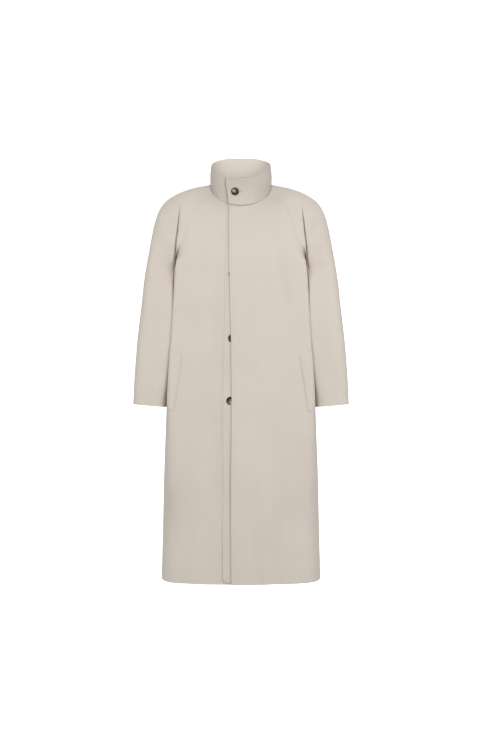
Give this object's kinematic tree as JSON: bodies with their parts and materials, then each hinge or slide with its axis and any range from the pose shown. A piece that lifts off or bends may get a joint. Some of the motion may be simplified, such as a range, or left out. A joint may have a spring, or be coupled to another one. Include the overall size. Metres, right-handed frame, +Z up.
{
  "type": "raglan coat",
  "caption": "Long raglan coat with a funnel collar, a concealed fly front and slanted welt pockets, filled out as worn and hollow inside.",
  "frame": {"origin": "middle of the neck, level with the tops of the shoulders, where the wearer's shoulders hold the coat up", "axes": "+Z up, +X to the wearer's left, -Y the way the wearer faces"},
  "size_m": [0.6336, 0.3121, 1.263],
  "materials": {
    "cloth": "matt stone-beige cotton twill",
    "button": "polished dark tortoise"
  },
  "bodies": {
    "root": {"front_left": "cloth", "front_right": "cloth", "back": "cloth", "sleeve_front_left": "cloth", "sleeve_front_right": "cloth", "sleeve_back_left": "cloth", "sleeve_back_right": "cloth", "collar": "cloth", "fly_strip": "cloth", "pocket_welt_left": "cloth", "pocket_welt_right": "cloth", "button_collar": "button", "button_front_1": "button", "button_front_2": "button", "button_front_3": "button"}
  },
  "joints": []
}
